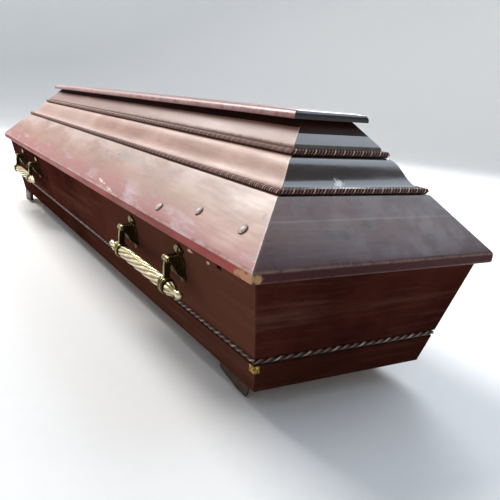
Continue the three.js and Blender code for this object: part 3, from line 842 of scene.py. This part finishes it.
def add_feet():
    """Bracket feet: thin boards cut up toward the middle, mitred at the slanted outer end."""
    finish = foot_wood("foot_wood")
    for place, end, side in (
        ("foot_left", 1, -1), ("foot_right", 1, 1), ("head_left", -1, -1), ("head_right", -1, 1),
    ):
        node = f"bracket_foot_{place}"
        low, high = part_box(node)
        outer_x = high.x if end > 0 else low.x
        outer_y = high.y if side > 0 else low.y
        bm = bmesh.new()
        wear = bm.verts.layers.float.new("wear")
        ring = [bm.verts.new((outer_x - end * reach, outer_y, z)) for reach, z in FOOT_OUTLINE]
        inner = points_of(bmesh.ops.extrude_face_region(bm, geom=[bm.faces.new(ring)]))
        bmesh.ops.translate(bm, verts=inner, vec=(0, side * (low.y - high.y), 0))
        tip = [vert for vert in inner if abs(vert.co.x - outer_x) < 0.02]
        bmesh.ops.translate(bm, verts=tip, vec=(-end * FOOT_MITRE, 0, 0))
        bmesh.ops.recalc_face_normals(bm, faces=bm.faces[:])
        rubbed = bmesh.ops.bevel(
            bm, geom=bm.edges[:], offset=FOOT_RUBBED, segments=3, profile=0.5, affect="EDGES",
            material=-1,
        )
        for vert in rubbed["verts"]:
            vert[wear] = 0.7
        finish_piece(bm, f"{node}_rubbed", finish, "coffin", [node])


def handle_frame(end, side):
    """Along the side, outward and up from the middle of a handle's pivot line."""
    x = end * HANDLE_X
    y = side * (half_width(x, chest_face(PIVOT_Z)) + PIVOT_OUT)
    lean = -math.atan(TAPER) if side > 0 else math.pi + math.atan(TAPER)
    return Matrix.Translation((x, y, PIVOT_Z)) @ Matrix.Rotation(lean, 4, "Z")


def between(stops, x):
    """A smooth value between listed stops (x, value)."""
    for (low, first), (high, second) in zip(stops, stops[1:]):
        if x <= high:
            share = max(0.0, (x - low) / (high - low))
            return first + (second - first) * share * share * (3 - 2 * share)
    return stops[-1][1]


# Bar beyond the grip, as distance from its middle: radius
BAR_TIP = {
    0.1072: 0.0092, 0.1078: 0.008, 0.1318: 0.008, 0.1325: 0.0088, 0.135: 0.0108, 0.14: 0.0124,
    0.147: 0.011, 0.155: 0.0085, 0.161: 0.0058, 0.165: 0.0046, 0.1675: 0.0052, 0.17: 0.0064,
    0.176: 0.0073, 0.181: 0.0062, 0.184: 0.0036, 0.185: 0.0008,
}


def bar_shape():
    """Spirally fluted grip between plain necks, ending in fluted buds and balls."""
    grip_steps, sides = 56, 72
    tip = list(BAR_TIP)
    inner = [GRIP_HALF * (2 * k / grip_steps - 1) for k in range(grip_steps + 1)]
    stations = [-x for x in reversed(tip)] + inner + tip

    def place(u, v):
        x = stations[round(u * (len(stations) - 1))]
        far = abs(x)
        angle = 2 * math.pi * v
        radius, flute = GRIP_RADIUS, GRIP_FLUTE
        if far > GRIP_HALF:
            radius = BAR_TIP[far]
            flute = BUD_FLUTE if BUD_SPAN[0] < far < BUD_SPAN[1] else 0.0
        turned = angle - max(-1, min(1, x / GRIP_HALF)) * GRIP_TURN / 2
        crown = 1 - abs(math.sin(GRIP_LOBES * angle / 2)) ** 1.4
        reach = radius * (1 + flute * (2 * crown - 1))
        point = Vector((x, reach * math.cos(turned), reach * math.sin(turned) - BAR_DROP))
        return point, {"hollow": (1 - crown) * 0.8 if flute else 0.25}

    return close_tube(shaped_grid(len(stations) - 1, sides, place))


def turned_ring(profile, sides=32, at=(0, 0, 0)):
    """A turned part about the bar's axis, from a closed profile of (radius, along)."""
    bm = bmesh.new()
    hollow = bm.verts.layers.float.new("hollow")
    ring = []
    largest = max(radius for radius, _ in profile)
    for radius, along in profile:
        vert = bm.verts.new((along, radius, 0))
        vert[hollow] = min(1.0, 4 * (1 - radius / largest))
        ring.append(vert)
    edges = [bm.edges.new((ring[i - 1], ring[i])) for i in range(len(ring))]
    bmesh.ops.spin(
        bm, geom=ring + edges, cent=(0, 0, 0), axis=(1, 0, 0),
        angle=2 * math.pi, steps=sides, use_merge=True,
    )
    bmesh.ops.remove_doubles(bm, verts=bm.verts[:], dist=1e-6)
    bmesh.ops.translate(bm, verts=bm.verts[:], vec=at)
    return bm


def joined(parts):
    """Several worked shapes as one casting."""
    whole = bmesh.new()
    whole.verts.layers.float.new("hollow")
    for part in parts:
        bmesh.ops.recalc_face_normals(part, faces=part.faces[:])
        mesh = bpy.data.meshes.new("casting")
        part.to_mesh(mesh)
        part.free()
        whole.from_mesh(mesh)
        bpy.data.meshes.remove(mesh)
    return whole


def arm_shape():
    """A bail arm: eye on the pin, waisted shank and a double-ringed collar round the bar."""
    eye = turned_ring([
        (0.0034, -0.004), (0.0056, -0.004), (0.0062, -0.003),
        (0.0062, 0.003), (0.0056, 0.004), (0.0034, 0.004),
    ])
    collar = turned_ring([
        (0.0088, -0.011), (0.012, -0.011), (0.0135, -0.0106), (0.0137, -0.0096), (0.0131, -0.0088),
        (0.0136, -0.0081), (0.0152, -0.0073), (0.0155, -0.006), (0.0151, -0.0048),
        (0.0134, -0.0038), (0.0128, -0.0026), (0.0129, -0.0012), (0.0136, -0.0004),
        (0.0149, 0.0004), (0.015, 0.0018),
        (0.0143, 0.0028), (0.0134, 0.0034), (0.0132, 0.0046), (0.0138, 0.0054), (0.0139, 0.0064),
        (0.013, 0.0074), (0.0118, 0.009), (0.0104, 0.0104), (0.0088, 0.011),
    ], 40, (0, 0, -BAR_DROP))
    widths = (
        (SHANK_LOW, 0.005), (-0.03, 0.0036), (-0.02, 0.0029), (-0.01, 0.003), (-0.004, 0.0036),
    )
    depths = ((SHANK_LOW, 0.0078), (-0.026, 0.0066), (-0.014, 0.0068), (-0.004, 0.006))

    def place(u, v):
        z = SHANK_LOW + SHANK_LENGTH * u
        angle = 2 * math.pi * v
        wide, deep = math.cos(angle), math.sin(angle)
        hollow = max(0.0, 1 - 1.6 * deep * deep)
        x = between(widths, z) * math.copysign(abs(wide) ** 0.5, wide) * (1 - 0.2 * hollow)
        y = between(depths, z) * math.copysign(abs(deep) ** 0.6, deep)
        return Vector((x, y, z)), {"hollow": 0.15 + 0.85 * hollow}

    shank = close_tube(shaped_grid(18, 32, place))
    return joined([eye, shank, collar])


# Back plate, as (height from the pivot, half its width)
PLATE_HALF = (
    (PLATE_LOW, 0.0006), (-0.0445, 0.0062), (-0.041, 0.0096), (-0.036, 0.0115), (-0.031, 0.012),
    (-0.025, 0.0125), (-0.02, 0.0147), (-0.014, 0.0182), (-0.006, 0.02), (0.001, 0.0172),
    (0.006, 0.012), (PALMETTE_LINE, 0.01), (0.0125, 0.016), (0.0165, 0.021), (0.019, 0.0185),
    (0.021, 0.014), (0.0245, 0.0094), (0.027, 0.0006),
)


def plate_relief(across, z):
    """Height of a back plate's casting: palmette head, ribbed belly and a leaf for a tail."""
    dome = math.sqrt(max(0.0, 1 - across * across))
    if z > PALMETTE_LINE:
        half = between(PLATE_HALF, z)
        spread = math.atan2(across * half, z - 0.004)
        petals = abs(math.cos(spread * 4.5))
        return PLATE_BASE + 0.0012 * dome + 0.0022 * petals * dome
    if z > TAIL_LINE:
        ribs = abs(math.sin((z - TAIL_LINE) * math.pi / 0.0055))
        return PLATE_BASE + 0.0026 * dome + 0.001 * ribs * dome
    vein = 1 - min(1.0, abs(across) * 3)
    barbs = abs(math.sin((z - 0.005 * abs(across)) * math.pi / 0.0045))
    return PLATE_BASE + 0.0014 * dome + 0.0012 * vein + 0.0006 * barbs * dome


def plate_face():
    """The back plate's relief, lying on the flared side, closed behind."""
    lean = math.atan(CHEST_FLARE)
    to_pivot = Vector((0, PIVOT_OUT, 0))

    def place(u, v):
        z = PLATE_LOW + PLATE_LENGTH * u
        across = 2 * v - 1
        x = across * between(PLATE_HALF, z)
        proud = 0.0003 + plate_relief(across, z)
        point = Matrix.Rotation(-lean, 3, "X") @ Vector((x, proud, z)) - to_pivot
        return point, {"hollow": 1 - min(1.0, max(0.0, (proud - 0.002) / 0.0038))}

    bm = shaped_grid(60, 22, place)
    for vert in points_of(bmesh.ops.extrude_edge_only(bm, edges=open_edges(bm))):
        flat = Matrix.Rotation(lean, 3, "X") @ (vert.co + to_pivot)
        flat.y = 0.0004
        vert.co = Matrix.Rotation(-lean, 3, "X") @ flat - to_pivot
    close_holes(bm)
    return bm


def ear_shape(start):
    """A stout leaf-shaped cheek beside the eye, sweeping back to the tail, its rim rounded."""
    bm = bmesh.new()
    hollow = bm.verts.layers.float.new("hollow")
    outline = [(CHEST_FLARE * z - PIVOT_OUT + 0.003, z) for z in (0.009, -0.008, -0.024, -0.04)]
    outline += [(-0.0313, -0.0385), (-0.0255, -0.0336), (-0.0205, -0.0306), (-0.0165, -0.0272)]
    outline += [(-0.0125, -0.0212), (-0.0085, -0.0145), (-0.0058, -0.0098)]
    for k in range(12):
        angle = math.pi * (k / 11 * 0.9 - 0.4)
        outline.append((0.0062 * math.cos(angle), 0.0062 * math.sin(angle)))
    outline += [(-0.01, 0.0066), (-0.017, 0.0074)]
    side = bm.faces.new([bm.verts.new((start, y, z)) for y, z in outline])
    far = points_of(bmesh.ops.extrude_face_region(bm, geom=[side]))
    bmesh.ops.translate(bm, verts=far, vec=(EAR_THICKNESS, 0, 0))
    bmesh.ops.recalc_face_normals(bm, faces=bm.faces[:])
    outer = start + (EAR_THICKNESS if start > 0 else 0)
    rims = [e for e in bm.edges if all(abs(v.co.x - outer) < 1e-6 for v in e.verts)]
    bmesh.ops.bevel(
        bm, geom=rims, offset=0.0018, segments=3, profile=0.5, affect="EDGES", material=-1,
        clamp_overlap=True,
    )
    cheek = [f for f in bm.faces if all(abs(v.co.x - outer) < 1e-6 for v in f.verts)]
    bmesh.ops.inset_region(bm, faces=cheek, thickness=0.0008, depth=-0.0008, use_even_offset=True)
    for vert in bm.verts:
        vert[hollow] = 0.3
    for vert in {v for f in cheek for v in f.verts}:
        vert[hollow] = 0.6
    return bm


def pin_shape():
    """The riveted pin, with a domed head on each cheek."""
    profile = [
        (0, -0.0125), (0.0018, -0.0123), (0.0036, -0.0116), (0.003, -0.0113),
        (0.003, 0.0113), (0.0036, 0.0116), (0.0018, 0.0123), (0, 0.0125),
    ]
    return turned_ring(profile, 20)


def add_handles():
    """Four handles: fixed back plates, and a bail of two arms and a bar on each."""
    bright = aged_brass("bar_brass", "e9dfbd", "cabb90", "5a4d2a", 1.2)
    dull = aged_brass("plate_brass", "b8a87c", "78683f", "352a16", 0.7)
    for end_name, end in (("foot", 1), ("head", -1)):
        for side_name, side in (("left", -1), ("right", 1)):
            place = f"{end_name}_{side_name}"
            frame_of_handle = handle_frame(end, side)
            bail = f"bail_{place}"
            for label, offset in (("a", -BRACKET_HALF), ("b", BRACKET_HALF)):
                at_bracket = frame_of_handle @ Matrix.Translation((offset, 0, 0))
                ears = [ear_shape(start) for start in EAR_STARTS]
                plate = joined([plate_face(), *ears, pin_shape()])
                bmesh.ops.transform(plate, matrix=at_bracket, verts=plate.verts[:])
                node = f"handle_plate_{place}_{label}"
                finish_piece(plate, f"{node}_cast", dull, "coffin", [node])
                arm = arm_shape()
                bmesh.ops.transform(arm, matrix=at_bracket, verts=arm.verts[:])
                node = f"handle_arm_{place}_{label}"
                finish_piece(arm, f"{node}_cast", dull, bail, [node])
            bar = bar_shape()
            bmesh.ops.transform(bar, matrix=frame_of_handle, verts=bar.verts[:])
            node = f"handle_bar_{place}"
            finish_piece(bar, f"{node}_cast", bright, bail, [node], BAR_SHARP)


def add_screws():
    """Domed screw heads on the left lower slope, each in a shallow dished washer."""
    finish = screw_finish("screw_metal")
    out = Vector((-TAPER, -1, STRETCH)).normalized()
    for number, (x, z) in enumerate(SCREW_PLACES, 1):
        bm = turned_ring(SCREW_PROFILE, 28)
        seat = Vector((x, -half_width(x, z - EAVE_TOP), z)) + out * 0.0004
        aim = Vector((1, 0, 0)).rotation_difference(out).to_matrix().to_4x4()
        bmesh.ops.transform(bm, matrix=Matrix.Translation(seat) @ aim, verts=bm.verts[:])
        node = f"lid_screw_{number}"
        finish_piece(bm, f"{node}_domed", finish, "coffin", [node])


def add_gilt_corner():
    """The one gilt mount left: a crumpled leaf folded round the corner under the moulding."""
    low, high, side_reach, end_reach = 0.0785, 0.0935, 0.013, 0.009

    def place(u, v):
        z = low + (high - low) * v
        corner = plan_corner(1, -1, chest_face(z), z)
        run = -side_reach + (side_reach + end_reach) * u
        lobes = abs(math.sin(u * math.pi * 4)) * abs(math.sin(v * math.pi * 2.5))
        crumple = noise.noise(Vector((run * 400, z * 400, 3)))
        proud = 0.0011 + 0.0014 * lobes + 0.0006 * crumple
        if run < 0:
            point = corner + Vector((run, -proud, 0))
            point.y += run * TAPER
        else:
            point = corner + Vector((proud, run, 0))
        fold = max(0.0, 1 - abs(run) / 0.0025)
        point += Vector((0.0007, -0.0007, 0)) * fold
        return point, {}

    bm = shaped_grid(36, 24, place)
    for vert in points_of(bmesh.ops.extrude_edge_only(bm, edges=open_edges(bm))):
        corner = plan_corner(1, -1, chest_face(vert.co.z), vert.co.z)
        vert.co.x = min(vert.co.x, corner.x + 0.0003)
        vert.co.y = max(vert.co.y, corner.y - 0.0003 + min(0.0, vert.co.x - corner.x) * TAPER)
    close_holes(bm)
    finish_piece(bm, "gilt_corner_leaf", gilt_finish("gilt"), "coffin", ["gilt_corner"])


def finish_floor():
    """The bare floor board keeps its solid and gets its timber."""
    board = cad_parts["chest_floor"]
    board.data.materials.clear()
    board.data.materials.append(floor_wood("floor_wood"))


def add_stage():
    """A pale round floor that sweeps up at its rim, open above."""
    bm = bmesh.new()
    profile = [(0, 0), (4.6, 0), (5.2, 0.08), (5.7, 0.3), (6.1, 0.7), (6.4, 1.4), (6.5, 2.4)]
    verts = [bm.verts.new((radius, 0, height - 0.0004)) for radius, height in profile]
    edges = [bm.edges.new(pair) for pair in zip(verts, verts[1:])]
    bmesh.ops.spin(
        bm, geom=verts + edges, cent=(0, 0, 0), axis=(0, 0, 1),
        angle=2 * math.pi, steps=72, use_merge=True,
    )
    bmesh.ops.remove_doubles(bm, verts=bm.verts[:], dist=1e-5)
    bmesh.ops.recalc_face_normals(bm, faces=bm.faces[:])
    mesh = bpy.data.meshes.new("studio_floor")
    bm.to_mesh(mesh)
    bm.free()
    mesh.shade_smooth()
    finish = Finish("studio_paper", Roughness=0.9, Specular_IOR_Level=0.1)
    speckle = finish.noise(40, detail=3)
    mesh.materials.append(finish.paint(finish.mix(speckle, tone("fbfbfa"), tone("f7f7f6"))))
    floor = bpy.data.objects.new("studio_floor", mesh)
    bpy.context.scene.collection.objects.link(floor)


def add_softbox(name, toward, distance, size, power, colour):
    """A soft light in a direction from the coffin, facing it."""
    data = bpy.data.lights.new(name, "AREA")
    data.shape = "RECTANGLE"
    data.size, data.size_y = size
    data.energy = power
    data.color = colour
    light = bpy.data.objects.new(name, data)
    aim = Vector(toward).normalized()
    light.location = aim * distance + Vector((0, 0, 0.3))
    light.rotation_euler = aim.to_track_quat("Z", "Y").to_euler()
    light.visible_camera = False
    bpy.context.scene.collection.objects.link(light)


def add_lights():
    """Daylight from the head end and over the right side, with dim air all round."""
    add_softbox("key_from_head", (-0.65, -0.2, 0.73), 4.0, (2.2, 2.2), 195, (1, 0.97, 0.93))
    add_softbox("sheen_from_head", (-0.94, -0.13, 0.3), 4.4, (2.6, 1.6), 12, (1, 0.98, 0.96))
    add_softbox("sky_over_right", (-0.45, 0.65, 0.6), 3.6, (1.8, 1.4), 80, (0.9, 0.95, 1))
    add_softbox("sky_over_foot", (0.2, 0.67, 0.72), 3.8, (2.4, 2.0), 44, (0.76, 0.87, 1))
    world = bpy.data.worlds.new("studio_air")
    world.use_nodes = True
    backdrop = world.node_tree.nodes["Background"]
    backdrop.inputs["Color"].default_value = (0.8, 0.86, 0.95, 1)
    backdrop.inputs["Strength"].default_value = 0.4
    bpy.context.scene.world = world
    bpy.context.scene.view_settings.view_transform = "Standard"


CAMERA_PLACE = (1.6155, -0.6209, 0.4823)
CAMERA_YAW = math.radians(150.21)
CAMERA_PITCH = math.radians(17.15)
CAMERA_ROLL = math.radians(4.78)
FOCAL_PIXELS = 574.6
OPTICAL_CENTRE = (233.3, 274.1)
PICTURE = 500
SENSOR = 36


def add_camera():
    """The camera that took the photo, from the fit of the coffin's edges."""
    forward = Vector((
        math.cos(CAMERA_YAW) * math.cos(CAMERA_PITCH),
        math.sin(CAMERA_YAW) * math.cos(CAMERA_PITCH),
        -math.sin(CAMERA_PITCH),
    ))
    level = forward.cross(Vector((0, 0, 1))).normalized()
    upright = level.cross(forward)
    right = level * math.cos(CAMERA_ROLL) + upright * math.sin(CAMERA_ROLL)
    up = upright * math.cos(CAMERA_ROLL) - level * math.sin(CAMERA_ROLL)
    data = bpy.data.cameras.new("photo_camera")
    data.sensor_width = SENSOR
    data.lens = FOCAL_PIXELS / PICTURE * SENSOR
    data.shift_x = (PICTURE / 2 - OPTICAL_CENTRE[0]) / PICTURE
    data.shift_y = (OPTICAL_CENTRE[1] - PICTURE / 2) / PICTURE
    camera = bpy.data.objects.new("photo_camera", data)
    bpy.context.scene.collection.objects.link(camera)
    place = Matrix((right, up, -forward)).transposed().to_4x4()
    place.translation = CAMERA_PLACE
    camera.matrix_world = place
    bpy.context.scene.camera = camera


add_camera()
add_stage()
add_lights()
add_boards()
add_cap()
add_mouldings()
add_feet()
add_handles()
add_screws()
add_gilt_corner()
finish_floor()
